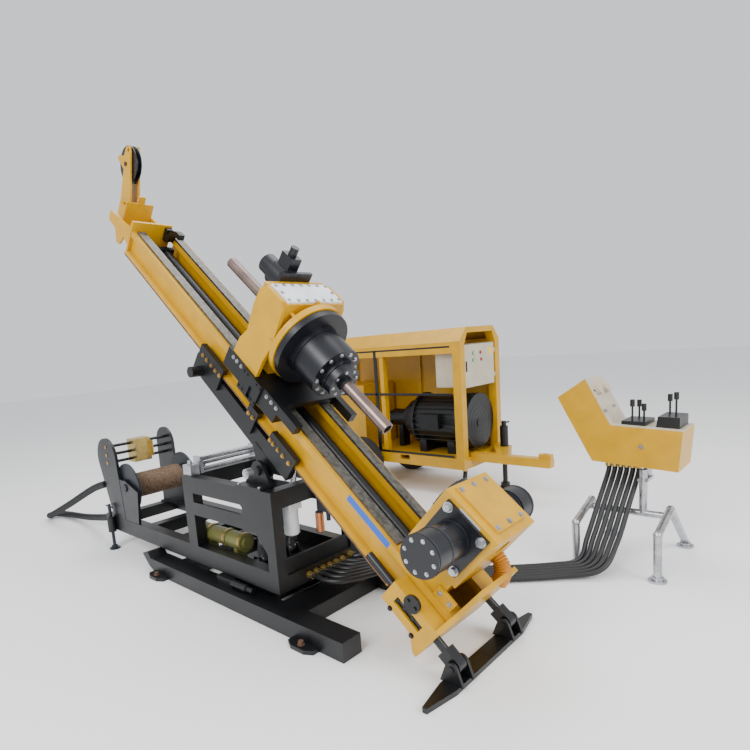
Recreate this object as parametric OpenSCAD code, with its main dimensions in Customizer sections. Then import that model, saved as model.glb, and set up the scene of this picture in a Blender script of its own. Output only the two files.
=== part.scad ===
// Underground core drilling rig: drill unit on skids, power unit and control console.
// Origin on the floor under the middle of the skid base, +X towards the mast foot,
// +Y from the operator's near side to the power unit, +Z up. Millimetres.

/* [Mast] */
// Mast angle above the floor, degrees
mast_angle = 41; // [35:1:48]
// Length of the mast channel
mast_len = 3450; // [3000:10:3800]
// Part of the mast channel that lies below its pivot
mast_below = 1350; // [1250:10:1450]
// Width over the mast channel
mast_w = 400; // [360:5:420]
// Depth of the mast channel, rails included
mast_d = 200; // [160:5:220]
// Plate thickness of the mast channel
mast_t = 12; // [8:1:16]
// Width of each steel rail on the mast
rail_w = 65; // [50:1:70]
// Height of each steel rail
rail_h = 16; // [10:1:20]
// Stroke of the mast on its cradle
mast_stroke = 400; // [200:10:450]

/* [Cradle and pivot] */
// Distance of the mast pivot in front of the skid centre
pivot_x = 180; // [150:5:210]
// Height of the mast pivot above the floor
pivot_z = 885; // [875:5:920]
// Radius of the mast pivot pins
pivot_r = 30; // [20:1:36]
// Length of the cradle above the pivot
cradle_up = 940; // [850:10:1000]
// Width over the cradle
cradle_w = 440; // [430:5:460]
// Depth of the cradle channel
cradle_d = 127; // [100:1:140]
// Plate thickness of the cradle
cradle_t = 10; // [6:1:14]
// Barrel radius of the lift cylinders
lift_r = 44; // [36:1:50]
// Rod radius of the lift cylinders
lift_rod_r = 24; // [18:1:28]

/* [Skid base] */
// Length of each skid runner
skid_len = 1930; // [1800:10:2050]
// Width over both runners
skid_w = 920; // [880:10:960]
// Width of one runner
runner_w = 140; // [110:5:145]
// Height of a runner
runner_h = 110; // [90:5:120]
// Radius of the anchor holes
anchor_r = 14; // [9:1:18]

/* [Upper frame] */
// Half of the width over the upper frame
frame_hw = 360; // [340:5:380]
// Width of the frame's box sections
beam_w = 80; // [60:5:90]
// Height of the frame's lower beams
beam_h = 125; // [100:5:130]
// Height of the frame's top face above the floor
frame_top = 790; // [770:5:800]
// Rear end of the frame's lower beams, behind the skid centre
frame_back = 1980; // [1950:10:2050]

/* [Winch] */
// Radius of the winch drum's flanges
drum_r = 200; // [150:5:205]
// Radius of the drum's barrel
barrel_r = 80; // [60:5:100]
// Radius of the three guide bars of the rope guide
guide_r = 13; // [8:1:16]

/* [Drill head] */
// Height of the drill rod's axis above the mast pivot, square to the mast
rod_w = 715; // [700:5:730]
// Radius of the drill rod
rod_r = 36; // [24:1:38]
// Length of the drill rod shown
rod_len = 1610; // [1560:10:1700]
// Radius of the chuck's largest flange
chuck_r = 250; // [230:5:255]
// Distance of the chuck's nose below the mast pivot
nose_u = 60; // [40:5:70]

/* [Rod clamp and foot] */
// Length of the clamp box along the mast
clamp_len = 310; // [280:5:320]
// Half of the clamp box's width
clamp_hw = 180; // [160:5:190]
// Radius of the clamp's side cylinders
clamp_cyl_r = 100; // [80:5:105]
// Half of the distance between the foot jacks
foot_y = 250; // [235:5:255]
// Radius of the foot jacks' rods
foot_rod_r = 22; // [16:1:26]
// Length of the foot blade
blade_len = 1040; // [900:10:1100]

/* [Crown] */
// Radius of the crown sheave
sheave_r = 135; // [110:5:140]
// Width of the crown sheave
sheave_w = 44; // [30:2:50]

/* [Power unit] */
// Length of the power unit's cage
cage_len = 2000; // [1800:10:2200]
// Width of the cage
cage_w = 770; // [700:10:840]
// Height of the cage's underside above the floor
cage_z = 290; // [270:5:320]
// Height of the cage from its underside to its roof
cage_h = 1380; // [1300:10:1450]
// Width of the cage's posts
post_w = 85; // [70:5:100]
// Radius of the electric motor's body
motor_r = 255; // [200:5:260]
// Radius of the road wheels
wheel_r = 280; // [240:5:300]

/* [Console] */
// Width of the control console
console_w = 310; // [260:5:340]
// Sheet thickness of the console
console_t = 4; // [3:0.5:8]
// Radius of the stand's tubes
stand_r = 24; // [18:1:28]

/* [Fits] */
// Clearance between moving faces
gap = 6; // [5:0.5:8]
// Radial clearance of a pin in its eye
pin_gap = 0.05; // [0.02:0.01:0.08]

/* [Hidden] */
$fn = 48;

yellow = [0.96, 0.76, 0.05];
black = [0.12, 0.13, 0.14];
steel = [0.62, 0.62, 0.62];
dark_steel = [0.25, 0.27, 0.30];
beige = [0.76, 0.70, 0.60];

// Frame of the mast: x up the mast from the pivot, y to the near side, z out of its rail face
ca = cos(mast_angle);
sa = sin(mast_angle);
module on_mast() translate([pivot_x, 0, pivot_z]) rotate([0, mast_angle, 0]) rotate([0, 0, 180]) children();

// Bars along an axis, from one end to the other
module bar_x(r, x0, x1) translate([x0, 0, 0]) rotate([0, 90, 0]) cylinder(r = r, h = x1 - x0);
module bar_y(r, y0, y1) translate([0, y1, 0]) rotate([90, 0, 0]) cylinder(r = r, h = y1 - y0);
module bar_z(r, z0, z1) translate([0, 0, z0]) cylinder(r = r, h = z1 - z0);
// A block from its lowest to its highest corner
module block(a, b) translate(a) cube([b[0] - a[0], b[1] - a[1], b[2] - a[2]]);
// An outline in X and Z, extruded from y0 to y1
module side_plate(y0, y1) translate([0, y1, 0]) rotate([90, 0,
    0]) linear_extrude(height = y1 - y0) children();
// An outline in Y and Z, extruded from x0 to x1
module end_plate(x0, x1) translate([x0, 0, 0]) rotate([90, 0,
    90]) linear_extrude(height = x1 - x0) children();
// The same thing on both sides of the XZ plane
module both_sides() {
    children();
    mirror([0, 1, 0]) children();
}
// A round bar between two points of one XZ plane
module link(a, b, y, r) {
    d = [b[0] - a[0], b[1] - a[1]];
    translate([a[0], y, a[1]]) rotate([0, 90 - atan2(d[1], d[0]), 0]) cylinder(r = r, h = norm(d));
}

// Heights in the mast's frame
mast_lo = 205;
mast_hi = mast_lo + mast_d;
cradle_hi = mast_lo - 40;
cradle_lo = cradle_hi - cradle_d;
mast_top = mast_len - mast_below;
mast_hw = mast_w / 2;
cradle_hw = cradle_w / 2;

// Lift cylinder: its base pin on the frame and its rod eye under the cradle
lift_base = [-60, 216];
lift_eye_u = 110;
lift_eye_w = -20;
lift_eye = [pivot_x - lift_eye_u * ca + lift_eye_w * sa, pivot_z + lift_eye_u * sa + lift_eye_w * ca];
lift_y = 120;
lift_len = norm([lift_eye[0] - lift_base[0], lift_eye[1] - lift_base[1]]);
lift_tilt = 90 - atan2(lift_eye[1] - lift_base[1], lift_eye[0] - lift_base[0]);
lift_barrel_len = 470;
lug_t = 16;
lift_play = 8.5;
lift_pin_r = 13;

// Foot blade: pin of the blade on the foot jacks, a set height above the floor
blade_pin_z = 95;
foot_w = 270;
foot_u = (blade_pin_z - pivot_z - foot_w * ca) / sa;
blade_pin_x = pivot_x - foot_u * ca + foot_w * sa;
blade_pin_r = 15;

skid_front = 970;
skid_hw = skid_w / 2;
skid_back = skid_front - skid_len;
ring_z = runner_h;
beam_z = ring_z + 55;
frame_front = 380;
top_back = -590;
rear_post = 110;
rail_top_h = 110;
plate_t = 16;
rear_post_x = -1400;
beam_top = beam_z + beam_h;
cross_top = beam_top - 30;
mast_face = mast_hi - rail_h;

// Round eye with a bore across the XZ plane
module eye(r, bore, y0, y1) difference() {
    bar_y(r, y0, y1);
    bar_y(bore, y0 - 1, y1 + 1);
}

// Two runners with slanted rear noses, three cross beams and four anchor lugs
lug_len = 200;
lug_out = 70;
lug_h = 24;
anchor_front_x = skid_front - 280;
anchor_back_x = skid_back + 70;
anchor_y = skid_hw + lug_out / 2;
module skid_base() color(black) {
    both_sides() difference() {
        union() {
            side_plate(skid_hw - runner_w, skid_hw) polygon([
                [skid_back, 0], [skid_front, 0], [skid_front, runner_h], [skid_back - 70, runner_h],
                [skid_back - 110, runner_h + 45], [skid_back - 190, runner_h + 20], [skid_back - 110, 50]]);
            for (x = [anchor_front_x, anchor_back_x])
                translate([x, 0, 0]) linear_extrude(height = lug_h) polygon([
                    [-lug_len / 2, skid_hw - 1], [-lug_len / 2, skid_hw + lug_out * 0.6],
                    [-lug_len / 4, skid_hw + lug_out], [lug_len / 4, skid_hw + lug_out],
                    [lug_len / 2, skid_hw + lug_out * 0.6], [lug_len / 2, skid_hw - 1]]);
        }
        for (x = [anchor_front_x, anchor_back_x]) translate([x, anchor_y, -1]) cylinder(r = anchor_r,
            h = lug_h + 2);
    }
    // Cross beams: x0 and x1 of each
    for (b = [[skid_front - 630, skid_front - 410], [-150, 150], [skid_back + 140, skid_back + 280]])
        block([b[0], runner_w - skid_hw - 1, 0], [b[1], skid_hw - runner_w + 1, runner_h - 10]);
    bar_z(300, runner_h - 30, runner_h);
}

// Slewing ring with its clamp plate between skid base and upper frame
ring_r = 290;
module slew_ring() color(dark_steel) {
    difference() {
        bar_z(ring_r, ring_z, beam_z);
        bar_z(ring_r - 70, ring_z - 1, beam_z + 1);
    }
    for (a = [0 : 30 : 330]) rotate([0, 0, a]) translate([ring_r - 2, 0, 0]) bar_z(12, ring_z + 12,
        beam_z - 12);
}

// Worm housing and small motor that turn the ring, on the near side
module slew_drive() color(steel) {
    block([-220, -skid_hw + 60, runner_h], [-60, -ring_r - 20, beam_z - 5]);
    translate([0, -(ring_r + skid_hw) / 2 - 10, ring_z + 26]) bar_x(25, -60, 90);
    translate([0, -(ring_r + skid_hw) / 2 - 10, ring_z + 26]) bar_x(18, 90, 150);
}

// Upper frame: two long lower beams, a ring of top rails on posts and slotted side plates
beam_in = frame_hw - beam_w;
window_lo = 612;
window_r = 32;
module frame_side() difference() {
    union() {
        block([-frame_back, beam_in, beam_z], [frame_front, frame_hw, beam_top]);
        block([top_back, beam_in, frame_top - rail_top_h], [frame_front, frame_hw, frame_top]);
        for (x = [[top_back, top_back + rear_post], [frame_front - beam_w, frame_front]])
            block([x[0], beam_in, beam_top - 1], [x[1], frame_hw, frame_top - rail_top_h + 1]);
        block([top_back, frame_hw - plate_t, 520], [frame_front, frame_hw, frame_top]);
        // Gusset at the front post
        side_plate(frame_hw - plate_t, frame_hw) polygon([[frame_front - beam_w + 1, 400],
            [frame_front - beam_w + 1, 521], [frame_front - beam_w - 100, 521]]);
    }
    // Long window in the side plate, with a round front end
    side_plate(beam_in - 5, frame_hw + 5) union() {
        translate([top_back + rear_post + 10,
            window_lo]) square([frame_front - 322 - top_back - rear_post - 10, 2 * window_r]);
        translate([frame_front - 322, window_lo + window_r]) circle(r = window_r);
    }
}
module main_frame() color(black) {
    both_sides() frame_side();
    union() {
        union() {
            // Cross beams at the bottom: rear end, winch front, centre and front
            for (x = [-frame_back, rear_post_x, -900, frame_front - 90])
                block([x, -beam_in - 1, beam_z], [x + 90, beam_in + 1, cross_top]);
            // Cross rails of the top ring
            for (x = [top_back, frame_front - beam_w])
                block([x, -beam_in - 1, frame_top - rail_top_h], [x + beam_w, beam_in + 1, frame_top]);
            // Front panel between the posts
            block([frame_front - 30, -beam_in - 1, beam_z], [frame_front - 14, beam_in + 1, 355]);
        }
    }
    block([-ring_r, -beam_in - 1, beam_z], [ring_r - 60, beam_in + 1, beam_z + 16]);
    // Bracket of the oil cooler's rear saddle
    block([cooler_x0 + 110, -beam_in - 1, beam_z], [cooler_x0 + 150, cooler_y + 50, beam_z + 20]);
    // Lugs of the lift cylinders' base pins
    for (y = [-lift_y, lift_y]) difference() {
        for (s = [-1, 1]) translate([0, y + s * (38 + lug_t / 2), 0])
            side_plate(-lug_t / 2, lug_t / 2) polygon([[lift_base[0] - 60, beam_z + 15],
                [lift_base[0] + 60, beam_z + 15], [lift_base[0] + 34, lift_base[1] + 26],
                [lift_base[0] - 34, lift_base[1] + 26]]);
        translate([lift_base[0], 0, lift_base[1]]) bar_y(16, y - 80, y + 80);
    }
    // Sockets of the rear screw jacks
    both_sides() difference() {
        translate([jack_x, jack_y, 0]) bar_z(34, beam_z - 10, beam_top);
        translate([jack_x, jack_y, 0]) bar_z(jack_r + 0.3, beam_z - 20, beam_top + 10);
    }
}

// Two bearing stands on the top ring that carry the mast's pivot pins
stand_in = cradle_hw + 34;
stand_t = 26;
module pivot_stand() color(black) both_sides() {
    side_plate(stand_in, stand_in + stand_t) difference() {
        hull() {
            translate([pivot_x, pivot_z]) circle(r = pivot_r + 32);
            translate([pivot_x - 140, frame_top]) square([250, 2]);
        }
        translate([pivot_x, pivot_z]) circle(r = pivot_r + pin_gap);
    }
    block([pivot_x - 140, stand_in, frame_top], [pivot_x + 110, frame_hw, frame_top + 14]);
}

// Three pipes on end blocks across the rear of the top ring, and a valve block at its near corner
pipe_x = top_back + 40;
pipe_top = frame_top + 115;
module cross_pipes() color(steel) {
    // Pipes: x from the middle, depth under the blocks' top and radius of each
    for (p = [[5, 20, 17], [-22, 58, 15], [24, 90, 14]])
        translate([pipe_x + p[0], 0, pipe_top - p[1]]) bar_y(p[2], -250, 267);
    for (y = [-238, 255]) block([pipe_x - 45, y - 12, frame_top], [pipe_x + 45, y + 12, pipe_top]);
    block([top_back + 4, 16 - frame_hw, frame_top], [top_back + 104, 4 - beam_in, frame_top + 72]);
    translate([top_back + 54, -beam_in - 35, 0]) bar_z(16, frame_top + 71, frame_top + 100);
}

// Shell-and-tube oil cooler inside the near beam, on two saddles
cooler_y = -212;
cooler_z = 345;
cooler_r = 58;
cooler_x0 = -660;
cooler_x1 = -110;
module oil_cooler() color([0.40, 0.42, 0.20]) {
    translate([0, cooler_y, cooler_z]) {
        bar_x(cooler_r, cooler_x0, cooler_x1);
        for (x = [cooler_x0, cooler_x0 + 160, cooler_x0 + 360, cooler_x1 - 20]) bar_x(cooler_r + 6, x,
            x + 20);
        bar_x(cooler_r - 20, cooler_x0 - 30, cooler_x1 + 16);
    }
    block([cooler_x0 + 110, cooler_y - 40, beam_z + 20], [cooler_x0 + 150, cooler_y + 40, cooler_z - 40]);
    block([cooler_x1 - 100, cooler_y - 40, beam_z + 16], [cooler_x1 - 60, cooler_y + 40, cooler_z - 40]);
}

// White oil filter that hangs from its head under the front rail
filter_x = frame_front - 60;
filter_y = -170;
module oil_filter() color([0.85, 0.85, 0.82]) {
    translate([filter_x, filter_y, 0]) {
        bar_z(48, 486, 641);
        bar_z(40, 478, 487);
    }
    block([filter_x - 52, filter_y - 52, 640], [filter_x + 52, filter_y + 52, valve_z]);
}

// Valve block with stub fittings on the front rail, and a copper valve that hangs under the rail
valve_z = frame_top - rail_top_h;
module valve_block() color(dark_steel) {
    block([frame_front, 20, valve_z - 100], [frame_front + 90, 190, valve_z + 60]);
    for (y = [50, 105, 160]) translate([frame_front + 45, y, 0]) bar_z(14, valve_z - 160, valve_z - 99);
    translate([frame_front - 34, 48, 0]) {
        bar_z(26, 432, 566);
        bar_z(13, 565, valve_z);
    }
}

// Winch: near and far bearing plates, base and three guide bars
drum_x = -1530;
drum_z = 575;
shaft_r = 34;
near_y = -360;
far_y = 200;
guide_x = -1800;
guide_zs = [900, 830, 762];
module winch_frame() color(dark_steel) {
    difference() {
        union() {
            // Near plate: a leaning neck with a round head on a wide foot
            side_plate(near_y, near_y + 24) hull() {
                translate([-1815, 800]) circle(r = 175);
                translate([-1830, beam_top]) square([230, 2]);
            }
            side_plate(near_y + 2, near_y + 22) polygon([[drum_x - 293, beam_top], [drum_x - 110,
                drum_z + 65],
                [drum_x - 23, drum_z + 57], [drum_x - 10, drum_z + 65], [drum_x + 214, drum_z - 11],
                [drum_x + 163, beam_top]]);
            // Far plate: a bottle shape
            side_plate(far_y, far_y + 24) union() {
                hull() {
                    translate([-1825, 845]) circle(r = 140);
                    translate([-1965, 640]) square([285, 10]);
                }
                polygon([[-1975, cross_top], [-1965, 650], [-1690, 650], [drum_x - 64, drum_z + 65],
                    [drum_x + 70, drum_z + 65], [drum_x + 180, drum_z - 15], [drum_x + 170, cross_top]]);
            }
        }
        translate([drum_x, 0, drum_z]) bar_y(shaft_r + pin_gap, near_y - 5, far_y + 30);
    }
    for (z = guide_zs) translate([guide_x, 0, z]) bar_y(guide_r, near_y + 23, far_y + 1);
    block([-1975, far_y - 30, cross_top], [drum_x + 170, far_y + 54, cross_top + 16]);
}

// Hydraulic motor of the winch on the far plate
module winch_motor() color(black) translate([drum_x, 0, drum_z]) difference() {
    union() {
        bar_y(110, far_y + 24, far_y + 54);
        bar_y(75, far_y + 53, far_y + 190);
        translate([0, 0, 60]) bar_y(20, far_y + 90, far_y + 130);
    }
    bar_y(shaft_r + 2, far_y + 20, far_y + 40);
}

// Drum with two flanges, shaft and its rope layers
drum_in = near_y + 24 + gap;
drum_out = far_y - gap;
module winch_drum() translate([drum_x, 0, drum_z]) {
    color(dark_steel) {
        for (y = [drum_in, drum_out - 14]) bar_y(drum_r, y, y + 14);
        bar_y(shaft_r, near_y - 8, far_y + 34);
        bar_y(barrel_r, drum_in + 13, drum_out - 13);
    }
    color([0.55, 0.45, 0.35]) difference() {
        bar_y(barrel_r + 15, drum_in + 14, drum_out - 14);
        bar_y(barrel_r - 1, drum_in + 13, drum_out - 13);
    }
}

// Rope guide: a block with rollers that slides on the guide bars
module rope_guide() {
    color([0.75, 0.62, 0.30]) difference() {
        block([guide_x - 60, -140, guide_zs[2] - 32], [guide_x + 60, 20, guide_zs[0] + 32]);
        for (z = guide_zs) translate([guide_x, 0, z]) bar_y(guide_r + 0.1, -150, 30);
    }
    color(black) for (y = [-142, 14]) translate([guide_x + 60, y, 0])
        block([-1, 0, guide_zs[2]], [46, 8, guide_zs[0]]);
}

// Screw jacks with foot discs under the rear end of the frame
jack_x = -1830;
jack_y = 390;
jack_r = 14;
module rear_jack(y) translate([jack_x, y, 0]) {
    bar_z(46, 0, 10);
    bar_z(26, 9, 30);
    bar_z(jack_r, 29, beam_top + 110);
    translate([0, 0, beam_top + 90]) bar_x(7, -60, 60);
}
module rear_jacks() color(dark_steel) both_sides() rear_jack(jack_y);

// Lift cylinders: barrels on the frame and rods to the cradle
module on_lift() translate([lift_base[0], 0, lift_base[1]]) rotate([0, lift_tilt, 0]) children();
module lift_barrels() color(steel) on_lift() for (y = [-lift_y, lift_y]) translate([0, y, 0]) {
    difference() {
        union() {
            bar_z(lift_r, 46, lift_barrel_len);
            bar_z(lift_r + 6, lift_barrel_len - 40, lift_barrel_len);
            bar_z(32, 0, 47);
            bar_y(32, -32, 32);
        }
        bar_z(lift_rod_r + 0.08, 90, lift_barrel_len + 1);
    }
    bar_y(16 - pin_gap, -60, 60);
}
module lift_rods() color([0.8, 0.8, 0.82]) on_lift() for (y = [-lift_y, lift_y]) translate([0, y,
    0]) difference() {
    union() {
        bar_z(lift_rod_r, 260, lift_len - 10);
        translate([0, 0, lift_len]) bar_y(lift_pin_r + lift_play + 12, -28, 28);
    }
    translate([0, 0, lift_len]) bar_y(lift_pin_r + lift_play, -29, 29);
}

// Cradle: an open channel under the mast with guide plates, pivot pins and cylinder lugs
guide_out = 26;
cradle_down = 190;
// Guides on each side: start and length of each
guides = [[-cradle_down, 250], [210, 100], [cradle_up - 320, 280]];
guide_hi = mast_lo + 66;
module guide_block(g) {
    rotate([90, 0, 90]) translate([0, 0, g[0]]) linear_extrude(height = g[1]) polygon([
        [cradle_hw - 14, cradle_hi - 60], [cradle_hw + guide_out, cradle_hi - 60],
            [cradle_hw + guide_out, guide_hi],
        [mast_hw + gap, guide_hi], [mast_hw + gap, mast_lo + mast_t + 10 + gap],
        [mast_hw + lip + gap, mast_lo + mast_t + 10 + gap], [mast_hw + lip + gap, mast_lo - gap],
        [cradle_hw - 14, mast_lo - gap]]);
}
module cradle() color(black) on_mast() {
    difference() {
        union() {
            rotate([90, 0, 0]) translate([0, 0, -cradle_hw]) linear_extrude(height = cradle_w) polygon([
                [-cradle_down, cradle_hi], [-cradle_down, cradle_hi - 45], [-85, cradle_lo],
                [cradle_up, cradle_lo], [cradle_up, cradle_hi]]);
            // Ears of the pivot pins
            both_sides() side_plate(cradle_hw - 22, cradle_hw + 4) hull() {
                circle(r = pivot_r + 34);
                translate([-60, cradle_lo]) square([220, 40]);
            }
        }
        // Inside of the channel
        block([-cradle_down - 1, -cradle_hw + cradle_t + 12, cradle_lo + cradle_t],
            [cradle_up + 1, cradle_hw - cradle_t - 12, cradle_hi + 1]);
    }
    // Guides that hold the mast's lips
    both_sides() for (g = guides) guide_block(g);
    both_sides() bar_y(pivot_r, cradle_hw - 10, stand_in + stand_t + 14);
    // Lugs and pins of the lift rods' eyes
    for (y = [-lift_y, lift_y]) translate([0, y, 0]) {
        for (e = [-42, 42]) side_plate(e - lug_t / 2, e + lug_t / 2) polygon([[lift_eye_u - 70,
            cradle_lo + 1],
            [lift_eye_u + 70, cradle_lo + 1], [lift_eye_u + 26, lift_eye_w - 24], [lift_eye_u - 26,
                lift_eye_w - 24]]);
        translate([lift_eye_u, 0, lift_eye_w]) bar_y(lift_pin_r, -56, 56);
    }
    // Stub shaft at the upper end
    translate([cradle_up - 120, 0, cradle_hi - 60]) bar_y(36, cradle_hw - 2, cradle_hw + 110);
    // Cross plate behind the slide cylinder and a seat under its gland
    block([slide_u0 - 20, -cradle_hw + 20, cradle_lo + 5], [slide_u0, cradle_hw - 20, cradle_hi - 12]);
    block([cradle_up - 40, -60, cradle_lo + 5], [cradle_up - 20, 60, slide_w - slide_r - 6]);
}

// Slide cylinder inside the cradle, pushing the mast up
slide_u0 = 260;
slide_u1 = cradle_up - 10;
slide_w = cradle_lo + 72;
slide_r = 40;
slide_rod_r = 22;
slide_lug = cradle_up + 110;
module slide_barrel() color(dark_steel) on_mast() translate([0, 0, slide_w]) difference() {
    union() {
        bar_x(slide_r, slide_u0, slide_u1);
        bar_x(slide_r + 6, slide_u1 - 40, slide_u1);
    }
    bar_x(slide_rod_r + 0.08, slide_u0 + 40, slide_u1 + 1);
}
module slide_rod() color([0.8, 0.8, 0.82]) on_mast() {
    translate([0, 0, slide_w]) bar_x(slide_rod_r, slide_u1 - mast_stroke - 100, slide_lug + 1);
    block([slide_lug, -45, slide_w - 45], [slide_lug + 40, 45, mast_lo]);
}

// Mast: a deep channel with a band along each top edge, lipped top flanges and outward lower lips
lip = 26;
web_hw = mast_hw - 24;
band_lo = mast_face - 45;
flange_in = mast_hw - 90;
half_mast = [[mast_hw + lip, mast_lo], [mast_hw + lip, mast_lo + mast_t], [mast_hw, mast_lo + mast_t + 10],
    [web_hw, mast_lo + mast_t + 14], [web_hw, band_lo], [mast_hw, band_lo], [mast_hw, mast_face],
    [flange_in, mast_face], [flange_in, band_lo + 5], [flange_in + mast_t, band_lo + 5],
    [flange_in + mast_t, mast_face - mast_t], [web_hw - mast_t, mast_face - mast_t], [web_hw - mast_t,
        mast_lo + mast_t]];
module mast_profile()
    polygon(concat(half_mast, [for (i = [len(half_mast) - 1 : -1 : 0]) [-half_mast[i][0],
        half_mast[i][1]]]));
module mast_beam() color(yellow) on_mast() difference() {
    end_plate(-mast_below, mast_top) mast_profile();
    // The lips end above the foot housing
    both_sides() block([-mast_below - 1, web_hw, mast_lo - 1], [-mast_below + house_len + 30,
        mast_hw + lip + 1, mast_lo + 40]);
}
module mast_rails() color(steel) on_mast() both_sides()
    block([clamp_u + clamp_len + 15, mast_hw + rail_over - rail_w, mast_face], [mast_top - 30,
        mast_hw + rail_over, mast_hi]);
rail_over = -25;

// Feed cylinder inside the mast
feed_w = mast_lo + 75;
module feed_cylinder() color(black) on_mast() {
    for (y = [-55, 55]) translate([0, y, feed_w]) bar_x(38, -mast_below + 260, mast_top - 121);
    for (u = [-mast_below + 220, mast_top - 121]) block([u, -110, mast_lo + mast_t], [u + 41, 110,
        feed_w + 45]);
}

// Top bracket: end plate over the near part of the mast, two cheeks and a floor between them
bracket_far = 120;
arm_lo = mast_lo + 95;
module bracket_cheek() translate([mast_top, mast_lo]) polygon([[19, 0], [19, 185], [364, 153], [368, 109],
    [354, 75], [249, 71], [188, -15], [147, -7], [106, 80], [32, 61], [27, 1]]);
module top_bracket() color(yellow) on_mast() {
    block([mast_top, -bracket_far, mast_lo - 6], [mast_top + 20, mast_hw + 6, mast_hi + 55]);
    side_plate(mast_hw - 20, mast_hw) bracket_cheek();
    side_plate(-bracket_far, 20 - bracket_far) bracket_cheek();
    block([mast_top + 19, 19 - bracket_far, arm_lo - 14], [mast_top + 354, mast_hw - 19, arm_lo]);
}

// Crown arm: two plates in a socket box that lean up the mast and carry the sheave and an ear
sheave_u = mast_top + 568;
sheave_wz = mast_lo + 442;
arm_t = 14;
arm_in = sheave_w / 2 + gap;
socket_hw = 20 - bracket_far;
module crown_arm() color(yellow) on_mast() {
    both_sides() side_plate(arm_in, arm_in + arm_t) translate([mast_top, mast_lo]) difference() {
        polygon([[300, 95], [300, 200], [380, 200], [394, 229], [458, 369], [535, 537], [571, 585],
            [613, 557],
            [622, 485], [635, 472], [684, 463], [706, 435], [700, 417], [590, 393], [550, 200], [537, 95]]);
        translate([sheave_u - mast_top, sheave_wz - mast_lo]) circle(r = 16 + pin_gap);
        translate([573, 548]) circle(r = 14);
    }
    // Socket box: front plate, two sides, rear plate and the web between the arms
    block([mast_top + 286, socket_hw, arm_lo], [mast_top + 300, 125, arm_lo + 170]);
    both_sides() block([mast_top + 299, -socket_hw - 14, arm_lo], [mast_top + 440, -socket_hw,
        arm_lo + 105]);
    block([mast_top + 426, socket_hw + 13, arm_lo], [mast_top + 440, -socket_hw - 13, arm_lo + 105]);
    block([mast_top + 299, -arm_in - 1, arm_lo], [mast_top + 315, arm_in + 1, mast_lo + 315]);
}
module crown_sheave() color(black) on_mast() translate([sheave_u, 0, sheave_wz]) {
    rotate([90, 0, 0]) rotate_extrude($fn = 72) polygon([[0, -sheave_w / 2], [sheave_r, -sheave_w / 2],
        [sheave_r, -sheave_w / 2 + 6], [sheave_r - 28, -6], [sheave_r - 28, 6], [sheave_r,
            sheave_w / 2 - 6],
        [sheave_r, sheave_w / 2], [0, sheave_w / 2]]);
    bar_y(16, -arm_in - arm_t - 8, arm_in + arm_t + 8);
}

// Bracket and curved hose guide at the mast's upper end, far side
module hose_guide() {
    color(yellow) on_mast() block([mast_top - 40, -110, mast_hi - 60], [mast_top, -60, mast_hi + 40]);
    color(black) on_mast() translate([mast_top - 180, 0, mast_hi - 60]) difference() {
        bar_y(150, -110, -60);
        bar_y(110, -111, -59);
        block([-160, -112, -160], [160, -58, 20]);
        block([-160, -112, -160], [-20, -58, 160]);
    }
}

// Foot housing: the mast's lower end plate and the two jack guides beside the channel
house_len = 290;
house_hw = foot_y + 50;
module foot_housing() color(yellow) on_mast() difference() {
    union() {
        end_plate(-mast_below - 24, -mast_below) polygon([[-house_hw, mast_lo - 75], [house_hw,
            mast_lo - 75],
            [house_hw, mast_hi - 60], [clamp_hw + 20, mast_hi + 20], [clamp_hw - 20, 600],
                [20 - clamp_hw, 600],
            [-clamp_hw - 20, mast_hi + 20], [-house_hw, mast_hi - 60]]);
        both_sides() for (w = [[foot_w - 70, foot_w - 56], [foot_w + 56, foot_w + 70]])
            block([-mast_below - 1, web_hw, w[0]], [-mast_below + house_len, house_hw, w[1]]);
        both_sides() block([-mast_below - 1, house_hw - 14, foot_w - 60], [-mast_below + house_len,
            house_hw, foot_w + 60]);
        both_sides() for (u = [-mast_below - 1, -mast_below + house_len - 24])
            block([u, web_hw, foot_w - 60], [u + 24, house_hw - 10, foot_w + 60]);
        // Gussets under the outer walls
        both_sides() side_plate(house_hw - 14, house_hw) polygon([[-mast_below - 1, mast_lo - 75],
            [-mast_below + 60, mast_lo - 15], [-mast_below + 60, foot_w - 59], [-mast_below - 1,
                foot_w - 59]]);
    }
    both_sides() translate([0, foot_y, foot_w]) bar_x(foot_rod_r + 0.08, -mast_below - 30,
        -mast_below + house_len + 1);
    // Slots in the outer walls
    both_sides() block([-mast_below + 50, house_hw - 20, foot_w - 22], [-mast_below + house_len - 60,
        house_hw + 1, foot_w + 22]);
}

// Clamp box that holds the rod: a box round the rod axis with a raised cover
clamp_u = -1245;
clamp_top = 860;
module clamp_box() color(yellow) on_mast() {
    difference() {
        union() {
            block([clamp_u, -clamp_hw, mast_face], [clamp_u + clamp_len, clamp_hw, clamp_top - 26]);
            block([clamp_u - 20, -clamp_hw, 500], [clamp_u + clamp_len, clamp_hw, clamp_top - 26]);
        }
        translate([0, 0, rod_w]) bar_x(rod_r + 24, clamp_u - 30, clamp_u + clamp_len + 10);
    }
    block([clamp_u - 20, -clamp_hw, clamp_top - 27], [clamp_u + clamp_len, clamp_hw, clamp_top - 12]);
    block([clamp_u + 20, -clamp_hw + 50, clamp_top - 13], [clamp_u + clamp_len - 20, clamp_hw - 50,
        clamp_top]);
    // Small bracket on the mast's near edge
    difference() {
        block([clamp_u - 80, clamp_hw - 1, mast_face], [clamp_u + 35, clamp_hw + 14, mast_face + 62]);
        for (u = [-50, 10]) translate([clamp_u + u, 0, mast_face + 36]) bar_y(9, clamp_hw - 2,
            clamp_hw + 15);
    }
}
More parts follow.
